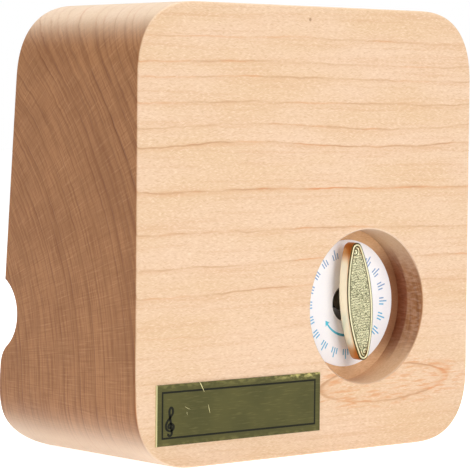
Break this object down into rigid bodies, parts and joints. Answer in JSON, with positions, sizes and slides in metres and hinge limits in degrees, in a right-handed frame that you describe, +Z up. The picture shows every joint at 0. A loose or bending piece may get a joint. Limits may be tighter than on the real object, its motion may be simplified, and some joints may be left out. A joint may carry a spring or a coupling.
{
  "type": "music box",
  "caption": "Wooden music box: a round-cornered block with a leaning, grooved front, a winding key in a round rear recess, and a pinned-cylinder movement inside.",
  "frame": {"origin": "middle of the base: the centre of the bounding box in X and Y, at its bottom", "axes": "+Z up, +Y out of the back face that holds the key recess, +X to the left of someone who faces that back"},
  "size_m": [0.1, 0.0502, 0.1],
  "materials": {
    "maple": "planed and oiled maple, fine grain",
    "plywood": "bare thin plywood",
    "paper": "white paper, smooth",
    "olive_brass": "olive patinated brass foil, brushed",
    "key_brass": "cast and polished pale brass",
    "brass": "turned brass",
    "cast_zinc": "die-cast, satin",
    "steel": "ground and polished",
    "spring_steel": "blued spring steel",
    "nylon": "moulded, natural"
  },
  "bodies": {
    "case": {"case_block": "maple", "bottom_cover": "plywood", "cover_screw_1": "steel", "cover_screw_2": "steel", "cover_screw_3": "steel", "cover_screw_4": "steel", "winding_label": "paper", "title_plate": "olive_brass", "bed_plate": "cast_zinc", "movement_screw_1": "steel", "movement_screw_2": "steel", "movement_screw_3": "steel", "spring_housing": "cast_zinc", "housing_rivet_1": "steel", "housing_rivet_2": "steel", "housing_rivet_3": "steel", "mainspring": "spring_steel", "cylinder_bracket": "cast_zinc", "bracket_screw": "steel", "comb": "steel", "comb_screw_1": "brass", "comb_screw_2": "brass", "governor_frame": "cast_zinc", "governor_screw_1": "steel", "governor_screw_2": "steel", "bearing_cap": "brass", "bearing_cap_screw": "steel"},
    "winding_train": {"winding_key": "key_brass", "winding_arbor": "steel", "drive_wheel": "brass", "ratchet_wheel": "steel", "click": "steel", "click_spring": "spring_steel", "click_rivet": "steel", "click_spring_rivet": "steel", "arbor_retaining_ring": "spring_steel"},
    "pinned_cylinder": {"cylinder": "brass", "cylinder_cap": "brass", "cylinder_gear": "nylon", "cylinder_arbor": "steel"},
    "governor_wheel": {"governor_arbor": "steel", "worm_wheel": "nylon"},
    "worm_and_fly": {"worm": "steel", "fly": "nylon"}
  },
  "joints": [
    {"name": "key_turn", "type": "hinge", "parent": "case", "child": "winding_train", "pos_m": [-0.0175, 0.01285, 0.0334], "axis": [0, -1, 0], "continuous": true},
    {"name": "cylinder_turn", "type": "hinge", "parent": "case", "child": "pinned_cylinder", "pos_m": [0.004, -0.00251, 0.0334], "axis": [1, 0, 0], "continuous": true},
    {"name": "governor_turn", "type": "hinge", "parent": "case", "child": "governor_wheel", "pos_m": [0.014, -0.00251, 0.02465], "axis": [1, 0, 0], "continuous": true},
    {"name": "fly_turn", "type": "hinge", "parent": "case", "child": "worm_and_fly", "pos_m": [0.01445, -0.00251, 0.01985], "axis": [0, -1, 0], "continuous": true}
  ],
  "couplings": [
    {"joint": "cylinder_turn", "follows": "key_turn", "ratio": 4},
    {"joint": "governor_turn", "follows": "key_turn", "ratio": -16},
    {"joint": "fly_turn", "follows": "key_turn", "ratio": -320}
  ]
}
